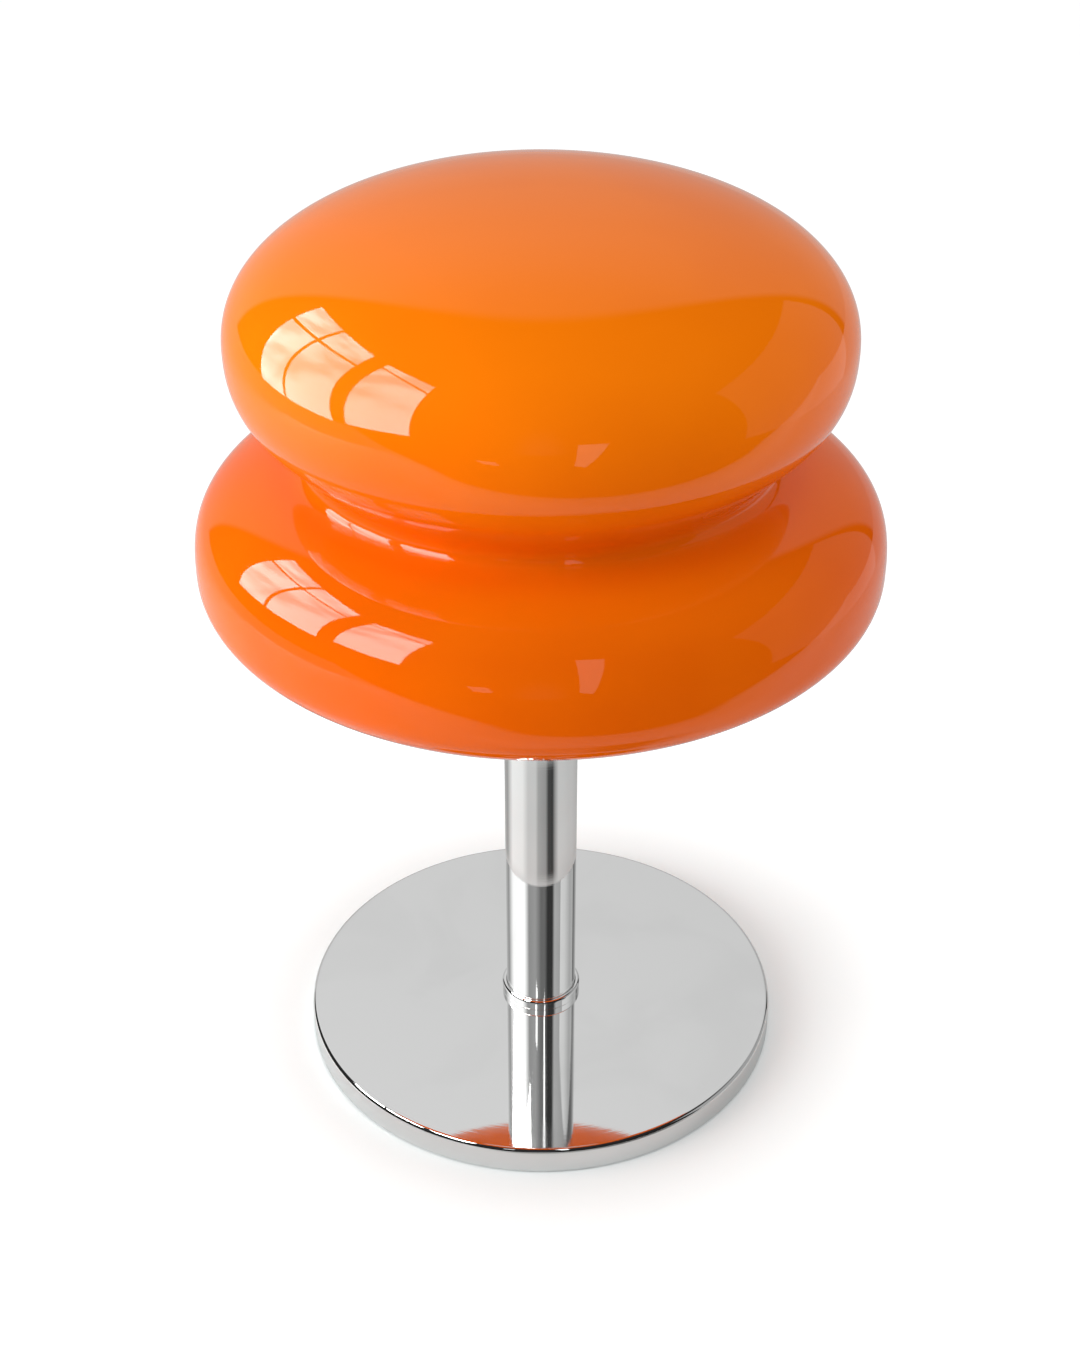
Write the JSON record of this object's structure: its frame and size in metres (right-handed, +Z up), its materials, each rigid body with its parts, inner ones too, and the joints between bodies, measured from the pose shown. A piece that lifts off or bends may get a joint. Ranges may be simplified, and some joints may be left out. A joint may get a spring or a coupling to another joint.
{
  "type": "mushroom floor lamp",
  "caption": "Mushroom floor lamp: a tiered blown glass shade rests on a plated tube stem with a round weighted base and lifts off a screw lampholder and bulb.",
  "frame": {"origin": "centre of the base on the floor", "axes": "+Z up along the stem, -Y to the front, +Y to the back where the cord enters the base"},
  "size_m": [0.366, 0.366, 0.5242],
  "materials": {
    "pad": "thin closed-cell foam pad",
    "iron": "sand cast and primed",
    "chrome": "bright mirror plating",
    "black_rubber": "moulded",
    "zinc": "zinc plated",
    "white_plastic": "moulded",
    "silicone": "clear silicone",
    "holder_plastic": "moulded, glossy",
    "porcelain": "glazed",
    "brass": "bright",
    "nickel": "bright drawn",
    "black_glass": "opaque insulating glass",
    "opal": "frosted white",
    "board": "white solder mask",
    "orange_glass": "opaque cased glass, bright fire polish"
  },
  "bodies": {
    "stand": {"base_pad": "pad", "base_weight": "iron", "base_cover": "chrome", "cord_grommet": "black_rubber", "tie_rod": "zinc", "lower_washer": "zinc", "lower_lock_washer": "zinc", "lower_nut": "zinc", "lower_rod_bush": "white_plastic", "foot_ring": "chrome", "foot_plug": "zinc", "stem_tube": "chrome", "stem_cap": "chrome", "gallery": "chrome", "gallery_collar": "chrome", "gallery_gasket": "silicone", "upper_washer": "zinc", "upper_nut": "zinc", "upper_rod_bush": "white_plastic", "holder_cap": "holder_plastic", "holder_grub_screw": "zinc", "holder_shell": "holder_plastic", "holder_insert": "porcelain", "holder_terminal_screws": "zinc", "holder_screw_shell": "brass", "holder_centre_contact": "brass"},
    "bulb_tip": {"bulb_contact": "nickel"},
    "bulb": {"bulb_insulator": "black_glass", "bulb_cap": "nickel", "bulb_body": "white_plastic", "bulb_led_board": "board", "bulb_globe": "opal"},
    "glass": {"shade": "orange_glass"}
  },
  "joints": [
    {"name": "shade_lift", "type": "slide", "parent": "stand", "child": "glass", "axis": [0, 0, 1], "range_m": [0, 0.2]},
    {"name": "bulb_rise", "type": "slide", "parent": "stand", "child": "bulb_tip", "axis": [0, 0, 1], "range_m": [0, 0.0181]},
    {"name": "bulb_turn", "type": "hinge", "parent": "bulb_tip", "child": "bulb", "pos_m": [0, 0, 0.33], "axis": [0, 0, 1], "range_deg": [0, 1800]}
  ],
  "couplings": [
    {"joint": "bulb_turn", "follows": "bulb_rise", "rad_per_m": 1730.9}
  ]
}
